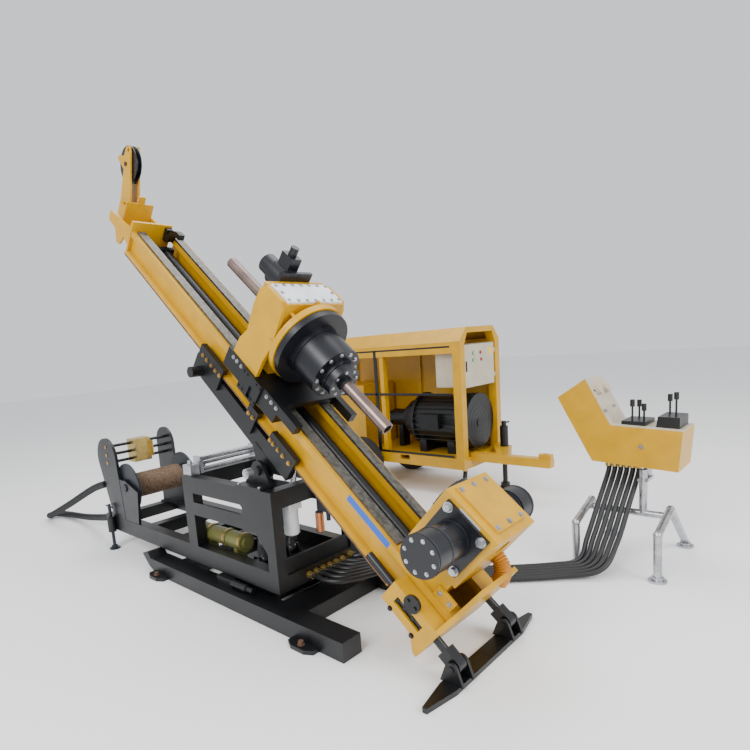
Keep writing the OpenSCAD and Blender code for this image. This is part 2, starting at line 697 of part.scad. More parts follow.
module clamp_cylinders() color(black) on_mast() both_sides() translate([clamp_u + clamp_len / 2 - 15,
    0, rod_w - 25]) {
    block([-130, clamp_hw, -135], [130, clamp_hw + 18, 135]);
    bar_y(clamp_cyl_r - 8, clamp_hw + 17, clamp_hw + 150);
    bar_y(clamp_cyl_r, clamp_hw + 149, clamp_hw + 270);
}

// Foot jacks: two rods with eye blocks
module foot_jacks() color(dark_steel) on_mast() both_sides() translate([0, foot_y, foot_w]) {
    bar_x(foot_rod_r, foot_u + 60, -mast_below + house_len + 200);
    difference() {
        union() {
            block([foot_u - 1, -30, -34], [foot_u + 80, 30, 34]);
            translate([foot_u, 0, 0]) bar_y(34, -30, 30);
        }
        translate([foot_u, 0, 0]) bar_y(blade_pin_r + pin_gap, -31, 31);
    }
}

// Foot blade: a long plate with tapered ends on the floor, with ears round each eye block
blade_hw = blade_len / 2;
module foot_blade() color(black) translate([blade_pin_x, 0, 0]) {
    linear_extrude(height = 26) polygon([[-45, -330], [-45, 330], [-12, blade_hw], [12, blade_hw],
        [45, 330], [45, -330], [12, -blade_hw], [-12, -blade_hw]]);
    both_sides() for (s = [-1, 1]) side_plate(foot_y + s * 46 - 8, foot_y + s * 46 + 8) hull() {
        translate([0, blade_pin_z]) circle(r = 32);
        translate([-60, 24]) square([120, 2]);
    }
    both_sides() translate([0, 0, blade_pin_z]) bar_y(blade_pin_r, foot_y - 60, foot_y + 60);
}

// Carriage on the rails: a plate, two side bars and hooked keepers under the mast's bands
carriage_lo = 80;
carriage_hi = 640;
bar_lo = -90;
bar_t = 50;
keeper_len = 200;
carriage_w = mast_hi + 12;
carriage_t = 34;
carriage_top = carriage_w + carriage_t;
keeper_in = mast_hw + gap;
keeper_out = keeper_in + bar_t;
module carriage() color(black) on_mast() {
    block([carriage_lo, -keeper_out, carriage_w], [carriage_hi, keeper_out, carriage_top]);
    both_sides() block([bar_lo, keeper_in, mast_face + 4], [carriage_hi, keeper_out, carriage_top]);
    both_sides() for (u = [carriage_lo, carriage_hi - keeper_len]) {
        block([u, keeper_in, band_lo - 20.3], [u + keeper_len, keeper_out, carriage_w + 1]);
        block([u, web_hw + gap, band_lo - 20.3], [u + keeper_len, keeper_in + 1, band_lo - 0.3]);
        block([u, mast_hw + rail_over - rail_w, mast_hi + 0.3], [u + keeper_len, mast_hw + rail_over,
            carriage_w + 1]);
    }
    // Slotted hanger plates on the side bars
    both_sides() difference() {
        block([carriage_hi - 390, keeper_out - 1, mast_hi - 105], [carriage_hi - 195, keeper_out + 14,
            carriage_top]);
        block([carriage_hi - 330, keeper_out, mast_hi - 96], [carriage_hi - 295, keeper_out + 15,
            mast_hi - 16]);
    }
    // Tongue down to the feed cylinders
    block([180, -40, feed_w + 44], [330, 40, carriage_w + 1]);
}

// Head housing: two cheek plates, gearbox shell and ribbed front ring
head_u0 = 345;
head_u1 = 600;
cheek_y = 225;
head_top = 945;
sleeve_r = rod_r + 16;
module head_housing() color(yellow) on_mast() difference() {
    union() {
        both_sides() side_plate(cheek_y, cheek_y + 25) polygon([[head_u0, carriage_top], [head_u1,
            carriage_top],
            [head_u1 - 10, 560], [head_u1 - 45, 640], [head_u1 - 15, 800], [head_u1 - 20, 905],
                [head_u1 - 60, 950],
            [390, 950], [360, 905], [325, 700], [345, 570]]);
        translate([0, 0, rod_w]) bar_x(205, 300, 590);
        translate([0, 0, rod_w]) bar_x(chuck_r + 8, 285, 325);
        block([360, -cheek_y, 760], [590, cheek_y, head_top]);
        block([360, -150, carriage_top], [580, 150, 560]);
        translate([0, 0, rod_w]) for (a = [0 : 45 : 315]) rotate([a, 0, 0]) block([290, -8, 180], [365,
            8, chuck_r + 6]);
    }
    translate([0, 0, rod_w]) bar_x(sleeve_r + pin_gap, 280, 600);
}
module head_cover() color([0.86, 0.87, 0.88]) on_mast()
    block([372, -215, head_top], [548, 215, head_top + 12]);

// Drive motor and its fittings on the head's upper end
module head_motor() color(black) on_mast() {
    block([590, -120, 800], [612, 120, 1000]);
    translate([0, 0, 905]) bar_x(85, 611, 760);
    translate([0, 0, 905]) bar_x(62, 759, 860);
    block([640, -40, 980], [740, 40, 1060]);
    translate([690, 0, 0]) bar_z(26, 1059, 1110);
}

// Chuck: stepped body that turns with the rod
chuck_hi = 285 - gap;
module chuck() color(black) on_mast() translate([0, 0, rod_w]) difference() {
    union() {
        bar_x(chuck_r, 240, chuck_hi);
        bar_x(172, 200, 262);
        bar_x(165, 20, 201);
        bar_x(112, -10, 21);
        bar_x(105, -nose_u, -9);
        bar_x(rod_r + 9, -nose_u - 26, 1 - nose_u);
        bar_x(sleeve_r, chuck_hi - 1, 640);
    }
    bar_x(rod_r + 0.05, -nose_u - 27, 641);
}
module drill_rod() color([0.6, 0.55, 0.5]) on_mast() translate([0, 0, rod_w]) difference() {
    bar_x(rod_r, -440, -440 + rod_len);
    bar_x(rod_r - 8, -441, -439 + rod_len);
}

// Power unit: cage of box sections with a base frame
cage_x1 = 30;
cage_x0 = cage_x1 - cage_len;
cage_y0 = 2340;
cage_y1 = cage_y0 + cage_w;
cage_top = cage_z + cage_h;
side_top = cage_top - 130;
base_h = 110;
chamfer = 120;
module cage_hoop(x) difference() {
    end_plate(x, x + post_w) polygon([[cage_y0, cage_z], [cage_y1, cage_z], [cage_y1, side_top],
        [cage_y1 - chamfer, cage_top], [cage_y0 + chamfer, cage_top], [cage_y0, side_top]]);
    end_plate(x - 1, x + post_w + 1) polygon([[cage_y0 + post_w, cage_z + base_h], [cage_y1 - post_w,
        cage_z + base_h],
        [cage_y1 - post_w, side_top - 30], [cage_y1 - chamfer - 20, cage_top - 55],
        [cage_y0 + chamfer + 20, cage_top - 55], [cage_y0 + post_w, side_top - 30]]);
}
module power_frame() color(yellow) difference() {
    union() {
        // Pins of the cabinet door on brackets at the far post
        for (z = hinge_zs) {
            translate([hinge_x, hinge_y, 0]) bar_z(5, z - 8, z + 38);
            block([hinge_x - 6, hinge_y - 5, z - 12], [hinge_x + 6, cab_y1 + 1, z - 4]);
        }
        for (x = [cage_x0, cage_x1 - post_w]) cage_hoop(x);
        for (y = [cage_y0, cage_y1 - post_w]) {
            block([cage_x0, y, cage_z], [cage_x1, y + post_w, cage_z + base_h]);
            block([cage_x0, y, side_top - 110], [cage_x1, y + post_w, side_top]);
            block([-960, y + 10, cage_z + base_h - 1], [-910, y + post_w - 10, side_top - 109]);
        }
        block([cage_x0 + 10, cage_y0 + 10, cage_z + 40], [cage_x1 - 10, cage_y1 - 10, cage_z + 52]);
        block([cage_x0 + 10, cage_y0 + 10, cage_z + base_h - 10], [cage_x1 - 10, cage_y1 - 10,
            cage_z + base_h]);
    }
    // Fork pockets through the base beams
    for (x = [-740, -1400]) block([x, cage_y0 - 1, cage_z + 53], [x + 120, cage_y1 + 1,
        cage_z + base_h - 11]);
}
roof_t = 4;
module power_roof() color(yellow) difference() {
    end_plate(cage_x0 + post_w, cage_x1 - post_w) polygon([[cage_y0, side_top], [cage_y1, side_top],
        [cage_y1 - chamfer, cage_top], [cage_y0 + chamfer, cage_top]]);
    end_plate(cage_x0 + post_w - 1, cage_x1 - post_w + 1) polygon([[cage_y0 + 2 * roof_t, side_top - 0.1],
        [cage_y1 - 2 * roof_t, side_top - 0.1], [cage_y1 - chamfer - roof_t, cage_top - roof_t],
        [cage_y0 + chamfer + roof_t, cage_top - roof_t]]);
}
module power_mesh() color(yellow) {
    block([cage_x0 + post_w, cage_y1 - 50, cage_z + base_h], [-960, cage_y1 - 46, side_top - 110]);
    block([-910, cage_y1 - 50, cage_z + base_h], [cage_x1 - post_w, cage_y1 - 46, side_top - 110]);
}

// Electric motor with feet, ribs left to the drawing of its skin, and fan cowl
motor_y = cage_y0 + 400;
motor_z = 727;
base_top = cage_z + base_h;
module power_motor() color(black) translate([0, motor_y, motor_z]) {
    bar_x(motor_r, -640, -160);
    bar_x(motor_r + 22, -160, -10);
    bar_x(motor_r + 30, -670, -640);
    bar_x(200, -800, -669);
    for (x = [-600, -260]) block([x, -230, base_top - motor_z], [x + 80, 230, -motor_r + 60]);
    block([-520, -motor_r - 70, -60], [-300, -motor_r + 40, 90]);
}
module power_pump() color(dark_steel) translate([0, motor_y, motor_z]) {
    bar_x(150, -860, -800);
    bar_x(95, -1080, -859);
    block([-1160, -90, -70], [-1079, 90, 70]);
    block([-1000, -60, base_top - motor_z], [-940, 60, -80]);
}
module power_tank() color(yellow) block([cage_x0 + post_w + 40, cage_y0 + 110, base_top],
    [-1290, cage_y1 - 110, base_top + 720]);

// Lamp cabinet over the motor, with a door that faces the front
cab_z0 = 1095;
cab_x0 = -300;
cab_x1 = cage_x1 - 36;
cab_z1 = side_top - 35;
cab_y0 = cage_y0 + post_w;
cab_y1 = cage_y1 - post_w;
module lamp_cabinet() color(beige) difference() {
    block([cab_x0, cab_y0, cab_z0], [cab_x1, cab_y1, cab_z1]);
    block([cab_x0 + 3, cab_y0 + 3, cab_z0 + 3], [cab_x1 + 1, cab_y1 - 3, cab_z1 - 3]);
}
door_t = 22;
hinge_x = cab_x1 + gap + door_t;
hinge_y = cab_y1 - 12;
hinge_zs = [cab_z0 + 60, cab_z1 - 100];
module cabinet_door() color(beige) {
    difference() {
        block([hinge_x - door_t, cab_y0 + gap, cab_z0 - 10], [hinge_x, hinge_y - 9, cab_z1 - gap]);
        block([hinge_x - door_t - 1, cab_y0 + gap + 3, cab_z0 - 7], [hinge_x - 3, hinge_y - 12,
            cab_z1 - gap - 3]);
    }
    for (z = hinge_zs) difference() {
        union() {
            translate([hinge_x, hinge_y, 0]) bar_z(8, z, z + 40);
            block([hinge_x - 3, hinge_y - 14, z], [hinge_x, hinge_y - 4, z + 40]);
        }
        translate([hinge_x, hinge_y, 0]) bar_z(5 + pin_gap, z - 1, z + 41);
    }
}

// Tow bar: a beam with a hook end and a brace that holds the jack, both from the base frame
tow_y = cage_y0 + 130;
tow_z = cage_z + 70;
module tow_bar() color(yellow) difference() {
    union() {
        block([cage_x1, tow_y, tow_z], [810, tow_y + 90, tow_z + 80]);
        translate([0, 0, tow_z]) linear_extrude(height = 80) polygon([[cage_x1, cage_y1 - 190],
            [cage_x1, cage_y1 - 60], [tow_jack_x + 50, tow_jack_y + 60], [400, tow_y + 89], [260,
                tow_y + 89]]);
        block([700, tow_y + 15, tow_z + 70], [810, tow_y + 75, tow_z + 120]);
    }
    translate([755, tow_y + 45, 0]) bar_z(20, tow_z - 1, tow_z + 121);
    translate([tow_jack_x, tow_jack_y, 0]) bar_z(31, tow_z - 1, tow_z + 81);
}
tow_jack_x = 165;
tow_jack_y = cage_y0 + 560;
module tow_jack() color(black) translate([tow_jack_x, tow_jack_y, 0]) {
    bar_z(24, 14, 700);
    block([-75, -75, 0], [75, 75, 8]);
    bar_z(45, 7, 60);
    bar_z(40, tow_z + 80, 650);
    translate([0, 0, 676]) bar_y(9, -10, 110);
}

// Axle beam and road wheels outside the cage
axle_x = -1220;
wheel_w = 170;
axle_end = cage_y1 + 20;
module axle() color(black) {
    block([axle_x - 40, cage_y0 - 20, wheel_r - 40], [axle_x + 40, cage_y1 + 20, cage_z]);
    for (y = [cage_y0, cage_y1 - 80]) block([axle_x - 90, y, cage_z - 15], [axle_x + 90, y + 80, cage_z]);
    for (y = [[cage_y0 - 22 - wheel_w, cage_y0 - 10], [cage_y1 + 10, cage_y1 + 22 + wheel_w]])
        translate([axle_x, 0, wheel_r]) bar_y(30, y[0], y[1]);
}
module wheel(y) translate([axle_x, y, wheel_r]) rotate([90, 0, 0]) rotate_extrude($fn = 72) polygon([
    [30.05, -50], [150, -50], [150, -70], [175, -82], [wheel_r - 14, -wheel_w / 2], [wheel_r,
        -wheel_w / 2 + 18],
    [wheel_r, wheel_w / 2 - 18], [wheel_r - 14, wheel_w / 2], [175, 82], [150, 70], [150, 50], [30.05,
        50]]);
module wheel_near() color(black) wheel(cage_y0 - 22 - wheel_w / 2);
module wheel_far() color(black) wheel(cage_y1 + 22 + wheel_w / 2);

// Console: bent sheet case with an open underside, panel, levers and a tube stand
con_y = 1727;
con_x = 1770;
con_z = 840;
module con_outline() polygon([[1245, 1113], [1427, 1238], [1587, 930], [1996, 908], [1977, 652], [1471,
    682]]);
tilt_z = 800;
tilt_r = 14;
module console_case() color(yellow) difference() {
    side_plate(con_y - console_w / 2, con_y + console_w / 2) con_outline();
    side_plate(con_y - console_w / 2 + console_t,
        con_y + console_w / 2 - console_t) offset(delta = -console_t) con_outline();
    block([1490, con_y - 110, 600], [1950, con_y + 110, 720]);
    translate([con_x, 0, tilt_z]) bar_y(tilt_r + pin_gap, con_y - 200, con_y + 200);
}
module console_panel() color(beige) {
    side_plate(con_y - console_w / 2 + 2, con_y + console_w / 2 - 2) polygon([[1427, 1238], [1587,
        930], [1996, 908],
        [1996, 914], [1591, 936], [1431, 1241]]);
    for (y = [-80, 60]) translate([1470, con_y + y, 1158]) rotate([0, 62.5, 0]) bar_z(42, 0, 34);
}
function panel_z(x) = 936 - (x - 1591) * 22 / 405;
levers = [[1700, -90, 150], [1700, 60, 130], [1760, -60, 120], [1880, 50, 170], [1930, -20, 190]];
module console_levers() color(black) {
    side_plate(con_y - 110, con_y + 110) polygon([[1640, panel_z(1640)], [1780, panel_z(1780)],
        [1780, 952], [1640, 956]]);
    side_plate(con_y - 110, con_y + 110) polygon([[1840, panel_z(1840)], [1970, panel_z(1970)],
        [1970, 985], [1850, 990]]);
    for (l = levers) translate([l[0], con_y + l[1], 0]) {
        bar_z(6, 945, 940 + l[2]);
        bar_z(14, 900 + l[2], 945 + l[2]);
    }
}
module console_stand() color(steel) {
    // Bent tube frames of the two legs: feet, knee and apex
    for (x = [1440, 1920]) {
        stand_tube([x, 1375, 20], [x, 1360, 300]);
        stand_tube([x, 1360, 300], [x, 1655, 385]);
        stand_tube([x, 1655, 385], [x, 2075, 34]);
        for (k = [[1360, 300], [1655, 385], [2075, 34]]) translate([x, k[0], k[1]]) sphere(r = stand_r + 2);
        for (y = [1375, 2075]) translate([x, y, 0]) bar_z(52, 0, 12);
        for (y = [1375, 2075]) translate([x, y, 0]) bar_z(34, 11, 30);
    }
    translate([0, con_y - 100, 345]) bar_x(22, 1440, 1920);
    translate([con_x, con_y - 100, 0]) bar_z(stand_r, 346, 640);
    // Foot of the tilt head and the cross pin that carries the case
    block([con_x - 30, con_y - 120, 560], [con_x + 30, con_y + 20, 580]);
    translate([con_x, con_y, 0]) bar_z(stand_r, 561, tilt_z);
    translate([con_x, 0, tilt_z]) bar_y(tilt_r, con_y - console_w / 2 - 12, con_y + console_w / 2 + 12);
    // Manifold on the post, inside the case's open underside, where the hoses end
    block([con_x - 256, con_y - 66, manifold_z], [con_x - 18, con_y + 8, manifold_z + 28]);
}
manifold_z = 676;
module stand_tube(a, b) {
    d = b - a;
    translate(a) rotate([0, acos(d[2] / norm(d)), atan2(d[1], d[0])]) cylinder(r = stand_r, h = norm(d));
}

// A hose: one polyhedron swept along a route of hand-chosen points, smoothed by a spline
hose_sides = 8;
function spline(p, n) = let (m = len(p) - 1) [for (i = [0 : m - 1], k = [0 : n - 1])
    let (t = k / n, a = p[max(i - 1, 0)], b = p[i], c = p[i + 1], d = p[min(i + 2, m)])
    0.5 * (2 * b + (c - a) * t + (2 * a - 5 * b + 4 * c - d) * t * t + (3 * b - a - 3 * c + d) * t * t * t), p[m]];
function unit(v) = v / norm(v);
module hose(route, r, steps) {
    q = spline(route, steps);
    n = len(q);
    tan = [for (i = [0 : n - 1]) unit(q[min(i + 1, n - 1)] - q[max(i - 1, 0)])];
    side = [for (i = [0 : n - 1]) unit(cross(tan[i], [0.13, 0.21, 0.97]))];
    pts = [for (i = [0 : n - 1], a = [0 : hose_sides - 1])
        q[i] + r * (cos(a * 360 / hose_sides) * side[i] + sin(a * 360 / hose_sides) * cross(tan[i],
            side[i]))];
    faces = concat([[for (a = [0 : hose_sides - 1]) a]],
        [[for (a = [hose_sides - 1 : -1 : 0]) (n - 1) * hose_sides + a]],
        [for (i = [0 : n - 2], a = [0 : hose_sides - 1]) let (b = (a + 1) % hose_sides)
            [i * hose_sides + b, i * hose_sides + a, (i + 1) * hose_sides + a, (i + 1) * hose_sides + b]]);
    polyhedron(pts, faces, convexity = 6);
}
power_route = [[-60, 2500, 289.5], [-60, 2500, 260], [-60, 2500, 220], [-20, 2400, 110], [200, 2000, 40], [420, 1500,
    32], [560, 900, 32],
    [590, 620, 90], [570, 440, 190], [490, 310, 222], [440, 258, 215], [410, 258, 215],
    [380.5, 258, 215]];
// Console hoses: where the middle of the row runs, and the step from one hose to the next
console_mid = [[1630, 1694, manifold_z - 0.5], [1630, 1694, 640], [1630, 1694, 590], [1615, 1560, 420], [1592, 1400, 200],
    [1560, 1270, 64],
    [1400, 1150, 27], [1080, 880, 25], [800, 650, 62], [745, 460, 175], [695, 330, 205],
    [565, 70, 212], [440, 30, 212], [410, 30, 212], [380.5, 30, 212]];
console_step = [[37, 0, 0], [37, 0, 0], [37, 0, 0], [37, 0, 0], [37, 0, 0], [34, -18, 0], [26, -28, 0],
    [26, -28, 0], [30, -22, 0], [38, 0, 0], [38, 0, 0], [22, -60, 0], [0, -60, 0], [0, -60, 0],
    [0, -60, 0]];
rear_route = [[-1930, -348, 560], [-2250, -350, 470], [-2800, -390, 250], [-3250, -420, 80], [-3390,
    -400, 44],
    [-3400, -320, 40], [-3250, -260, 40], [-2800, -240, 80], [-2300, -280, 170], [-2060, -320, 225],
    [-2020, -320, 225], [-1980.5, -320, 225]];
module power_hoses() color(black) hose(power_route, 22, 5);
module console_hoses() color(black) for (i = [-2.5 : 1 : 2.5])
    hose([for (k = [0 : len(console_mid) - 1]) console_mid[k] + i * console_step[k]], 16, 4);
module rear_hose() color(black) hose(rear_route, 32, 5);

skid_base();
slew_ring();
slew_drive();
main_frame();
pivot_stand();
cross_pipes();
oil_cooler();
oil_filter();
valve_block();
winch_frame();
winch_motor();
winch_drum();
rope_guide();
rear_jacks();
lift_barrels();
lift_rods();
cradle();
slide_barrel();
slide_rod();
mast_beam();
mast_rails();
feed_cylinder();
top_bracket();
crown_arm();
crown_sheave();
hose_guide();
foot_housing();
clamp_box();
clamp_cylinders();
foot_jacks();
foot_blade();
carriage();
head_housing();
head_cover();
head_motor();
chuck();
drill_rod();
power_frame();
power_roof();
power_mesh();
power_motor();
power_pump();
power_tank();
lamp_cabinet();
cabinet_door();
tow_bar();
tow_jack();
axle();
wheel_near();
wheel_far();
console_case();
console_panel();
console_levers();
console_stand();
power_hoses();
console_hoses();
rear_hose();
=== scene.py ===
import math
import bmesh
import bpy
from mathutils import Matrix, Vector


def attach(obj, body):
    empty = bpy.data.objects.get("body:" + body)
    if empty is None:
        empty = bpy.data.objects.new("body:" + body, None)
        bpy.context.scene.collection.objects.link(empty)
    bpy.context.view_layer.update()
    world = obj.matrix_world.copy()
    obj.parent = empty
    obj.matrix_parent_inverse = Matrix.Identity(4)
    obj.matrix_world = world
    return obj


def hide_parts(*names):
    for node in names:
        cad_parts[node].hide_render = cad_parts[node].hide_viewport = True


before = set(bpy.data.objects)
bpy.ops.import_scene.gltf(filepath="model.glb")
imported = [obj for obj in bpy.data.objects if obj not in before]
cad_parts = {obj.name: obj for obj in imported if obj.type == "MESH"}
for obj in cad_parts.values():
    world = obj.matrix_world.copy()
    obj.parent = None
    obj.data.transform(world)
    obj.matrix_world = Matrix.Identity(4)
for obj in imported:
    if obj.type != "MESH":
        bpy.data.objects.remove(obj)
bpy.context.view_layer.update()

# Camera at the operator's front corner of the rig, a little over head height, looking across the
# skids to the power unit. Its columns are right, up and backwards.
camera = bpy.data.objects.new("camera", bpy.data.cameras.new("camera"))
bpy.context.scene.collection.objects.link(camera)
camera.matrix_world = Matrix((
    (0.706067, -0.052798, 0.706174, 2.79),
    (0.703424, 0.167248, -0.690813, -2.26),
    (-0.081633, 0.984500, 0.155228, 1.60),
    (0, 0, 0, 1)))
camera.data.sensor_width = 36
camera.data.lens = 26.22
camera.data.shift_x = 0.0708
camera.data.shift_y = 0.0763
camera.data.clip_end = 100
bpy.context.scene.camera = camera

# Pale floor and soft studio light: one large window-like light from the operator's side, a weaker
# one from the front, one from above and a bright world.
floor_mesh = bpy.data.meshes.new("floor")
bm = bmesh.new()
bmesh.ops.create_grid(bm, x_segments=1, y_segments=1, size=30)
bm.to_mesh(floor_mesh)
bm.free()
floor = bpy.data.objects.new("floor", floor_mesh)
bpy.context.scene.collection.objects.link(floor)
floor_paint = bpy.data.materials.new("floor_paint")
floor_paint.use_nodes = True
floor_shader = floor_paint.node_tree.nodes["Principled BSDF"]
floor_shader.inputs["Base Color"].default_value = (0.90, 0.90, 0.90, 1)
floor_shader.inputs["Roughness"].default_value = 0.9
floor_mesh.materials.append(floor_paint)
floor.location.z = -0.001
for lamp_name, place, aim, size, watts in (
        ("key_light", (1.5, -6.5, 6.0), (-0.5, 0.5, 0.8), 4.5, 620),
        ("front_light", (7.0, 1.0, 4.5), (-0.5, 0.8, 1.0), 4.0, 360),
        ("top_light", (-1.5, 2.0, 7.5), (-0.5, 1.0, 0.5), 5.0, 260)):
    lamp = bpy.data.objects.new(lamp_name, bpy.data.lights.new(lamp_name, "AREA"))
    lamp.data.size = size
    lamp.data.energy = watts
    lamp.location = place
    lamp.rotation_euler = (Vector(aim) - Vector(place)).to_track_quat("-Z", "Y").to_euler()
    bpy.context.scene.collection.objects.link(lamp)
world = bpy.data.worlds.new("studio")
world.use_nodes = True
world.node_tree.nodes["Background"].inputs["Color"].default_value = (0.95, 0.97, 1.0, 1)
world.node_tree.nodes["Background"].inputs["Strength"].default_value = 1.0
bpy.context.scene.world = world


def paint(name, colour, rough, wear, grime=0.35, scale=7.0):
    """Sprayed paint: slight colour drift, thin dust, small chips and an orange-peel skin."""
    coat = bpy.data.materials.new(name)
    coat.use_nodes = True
    nodes, links = coat.node_tree.nodes, coat.node_tree.links
    shader = nodes["Principled BSDF"]
    place = nodes.new("ShaderNodeTexCoord")
    drift = nodes.new("ShaderNodeTexNoise")
    drift.inputs["Scale"].default_value = scale
    drift.inputs["Detail"].default_value = 8
    drift.inputs["Roughness"].default_value = 0.62
    links.new(place.outputs["Object"], drift.inputs["Vector"])
    tone = nodes.new("ShaderNodeValToRGB")
    tone.color_ramp.elements[0].position = 0.35
    tone.color_ramp.elements[0].color = tuple(c * 0.88 for c in colour) + (1,)
    tone.color_ramp.elements[1].position = 0.65
    tone.color_ramp.elements[1].color = tuple(min(1, c * 1.05) for c in colour) + (1,)
    links.new(drift.outputs["Fac"], tone.inputs["Fac"])
    chips = nodes.new("ShaderNodeTexNoise")
    chips.inputs["Scale"].default_value = scale * 9
    chips.inputs["Detail"].default_value = 10
    chips.inputs["Roughness"].default_value = 0.7
    links.new(place.outputs["Object"], chips.inputs["Vector"])
    chip_mask = nodes.new("ShaderNodeValToRGB")
    chip_mask.color_ramp.elements[0].position = 0.68 - 0.08 * wear
    chip_mask.color_ramp.elements[1].position = 0.72 - 0.08 * wear
    links.new(chips.outputs["Fac"], chip_mask.inputs["Fac"])
    worn = nodes.new("ShaderNodeMix")
    worn.data_type = "RGBA"
    worn.inputs["B"].default_value = tuple(0.45 * c + 0.02 for c in colour) + (1,)
    links.new(chip_mask.outputs["Color"], worn.inputs["Factor"])
    links.new(tone.outputs["Color"], worn.inputs["A"])
    dust = nodes.new("ShaderNodeTexNoise")
    dust.inputs["Scale"].default_value = scale * 0.45
    dust.inputs["Detail"].default_value = 5
    links.new(place.outputs["Object"], dust.inputs["Vector"])
    dust_mask = nodes.new("ShaderNodeMapRange")
    dust_mask.inputs["From Min"].default_value = 0.50
    dust_mask.inputs["From Max"].default_value = 0.80
    dust_mask.inputs["To Max"].default_value = grime
    links.new(dust.outputs["Fac"], dust_mask.inputs["Value"])
    dusty = nodes.new("ShaderNodeMix")
    dusty.data_type = "RGBA"
    dusty.inputs["B"].default_value = tuple(0.75 * c + 0.012 for c in colour) + (1,)
    links.new(dust_mask.outputs["Result"], dusty.inputs["Factor"])
    links.new(worn.outputs["Result"], dusty.inputs["A"])
    links.new(dusty.outputs["Result"], shader.inputs["Base Color"])
    gloss = nodes.new("ShaderNodeMapRange")
    gloss.inputs["To Min"].default_value = rough - 0.06
    gloss.inputs["To Max"].default_value = rough + 0.14
    links.new(drift.outputs["Fac"], gloss.inputs["Value"])
    links.new(gloss.outputs["Result"], shader.inputs["Roughness"])
    peel = nodes.new("ShaderNodeBump")
    peel.inputs["Strength"].default_value = 0.10
    peel.inputs["Distance"].default_value = 0.001
    links.new(chips.outputs["Fac"], peel.inputs["Height"])
    links.new(peel.outputs["Normal"], shader.inputs["Normal"])
    return coat


def metal(name, colour, rough, metallic=0.9, stain=0.3, scale=18.0):
    """Machined, rolled or plated metal with fine marks and darker oil stains."""
    skin = bpy.data.materials.new(name)
    skin.use_nodes = True
    nodes, links = skin.node_tree.nodes, skin.node_tree.links
    shader = nodes["Principled BSDF"]
    place = nodes.new("ShaderNodeTexCoord")
    marks = nodes.new("ShaderNodeTexNoise")
    marks.inputs["Scale"].default_value = scale
    marks.inputs["Detail"].default_value = 9
    marks.inputs["Roughness"].default_value = 0.6
    links.new(place.outputs["Object"], marks.inputs["Vector"])
    tone = nodes.new("ShaderNodeValToRGB")
    tone.color_ramp.elements[0].position = 0.36
    tone.color_ramp.elements[0].color = tuple(c * (1 - stain) for c in colour) + (1,)
    tone.color_ramp.elements[1].position = 0.60
    tone.color_ramp.elements[1].color = (*colour, 1)
    links.new(marks.outputs["Fac"], tone.inputs["Fac"])
    links.new(tone.outputs["Color"], shader.inputs["Base Color"])
    shader.inputs["Metallic"].default_value = metallic
    gloss = nodes.new("ShaderNodeMapRange")
    gloss.inputs["To Min"].default_value = max(0.05, rough - 0.12)
    gloss.inputs["To Max"].default_value = rough + 0.15
    links.new(marks.outputs["Fac"], gloss.inputs["Value"])
    links.new(gloss.outputs["Result"], shader.inputs["Roughness"])
    grain = nodes.new("ShaderNodeBump")
    grain.inputs["Strength"].default_value = 0.10
    grain.inputs["Distance"].default_value = 0.001
    links.new(marks.outputs["Fac"], grain.inputs["Height"])
    links.new(grain.outputs["Normal"], shader.inputs["Normal"])
    return skin


def plain(name, colour, rough=0.4, glow=0.0):
    """Moulded plastic, rubber, glass or a lit lens in one colour, with a slightly uneven gloss."""
    skin = bpy.data.materials.new(name)
    skin.use_nodes = True
    nodes, links = skin.node_tree.nodes, skin.node_tree.links
    shader = nodes["Principled BSDF"]
    shader.inputs["Base Color"].default_value = (*colour, 1)
    shader.inputs["Emission Color"].default_value = (*colour, 1)
    shader.inputs["Emission Strength"].default_value = glow
    place = nodes.new("ShaderNodeTexCoord")
    smear = nodes.new("ShaderNodeTexNoise")
    smear.inputs["Scale"].default_value = 25
    links.new(place.outputs["Object"], smear.inputs["Vector"])
    gloss = nodes.new("ShaderNodeMapRange")
    gloss.inputs["To Min"].default_value = max(0.05, rough - 0.1)
    gloss.inputs["To Max"].default_value = rough + 0.1
    links.new(smear.outputs["Fac"], gloss.inputs["Value"])
    links.new(gloss.outputs["Result"], shader.inputs["Roughness"])
    return skin


yellow_paint = paint("yellow_paint", (0.56, 0.295, 0.0), 0.30, 0.25, grime=0.06)
black_paint = paint("black_paint", (0.003, 0.0035, 0.0045), 0.34, 0.3, grime=0.04)
blue_black = paint("blue_black_paint", (0.004, 0.005, 0.008), 0.28, 0.3, grime=0.04)
beige_paint = paint("beige_paint", (0.50, 0.44, 0.33), 0.42, 0.1, grime=0.10)
white_paint = paint("white_paint", (0.78, 0.80, 0.82), 0.40, 0.2, grime=0.12)
olive_paint = paint("olive_paint", (0.13, 0.13, 0.035), 0.38, 0.5, grime=0.25)
rusty = paint("rusty_iron", (0.11, 0.055, 0.030), 0.75, 1.0, grime=0.3, scale=30)
dark_steel = metal("dark_steel", (0.045, 0.05, 0.06), 0.40, metallic=0.7)
rail_steel = metal("rail_steel", (0.16, 0.15, 0.13), 0.36, metallic=0.75, stain=0.55, scale=30)
rod_steel = metal("rod_steel", (0.26, 0.19, 0.17), 0.30, metallic=0.9, stain=0.25, scale=9)
tube_steel = metal("tube_steel", (0.50, 0.51, 0.54), 0.28)
lip_steel = metal("lip_steel", (0.22, 0.13, 0.08), 0.45, metallic=0.7, stain=0.5, scale=24)
chrome = metal("chrome", (0.80, 0.81, 0.83), 0.12, metallic=1.0, stain=0.08)
zinc = metal("zinc", (0.62, 0.46, 0.16), 0.30)
brass = metal("brass", (0.55, 0.34, 0.10), 0.28, stain=0.35)
rope_steel = metal("rope_steel", (0.26, 0.17, 0.11), 0.50, metallic=0.5, stain=0.5, scale=60)
rubber = plain("hose_rubber", (0.010, 0.010, 0.011), 0.42)
tyre_rubber = plain("tyre_rubber", (0.016, 0.016, 0.017), 0.75)


